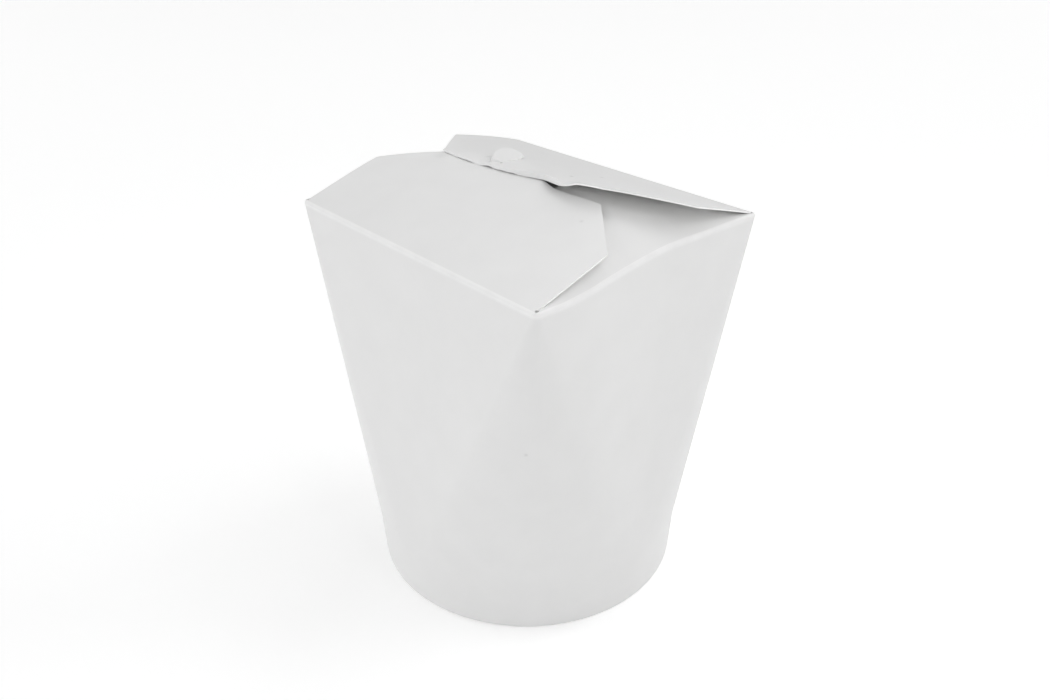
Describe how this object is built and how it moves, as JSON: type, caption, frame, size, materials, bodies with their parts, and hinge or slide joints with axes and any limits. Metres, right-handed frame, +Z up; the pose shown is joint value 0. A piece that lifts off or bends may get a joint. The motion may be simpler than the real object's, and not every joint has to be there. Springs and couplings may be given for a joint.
{
  "type": "noodle takeaway box",
  "caption": "Shut takeaway box of folded white paperboard: round foot, oblong rim, short flaps folded in and long flaps locked over them by a tongue in a slit.",
  "frame": {"origin": "middle of the round foot, on the surface that the box stands on", "axes": "+Z up, X along the long flaps' hinges, Y across them: the lower long flap is hinged on -Y and the upper one on +Y"},
  "size_m": [0.0948, 0.092, 0.1234],
  "materials": {
    "white_board": "clay-coated white paperboard, satin, with paler uncoated cut edges and softly crushed score lines",
    "disc_board": "plain white paperboard disc, matt"
  },
  "bodies": {
    "root": {"carton": "white_board", "base_disc": "disc_board"}
  },
  "joints": []
}
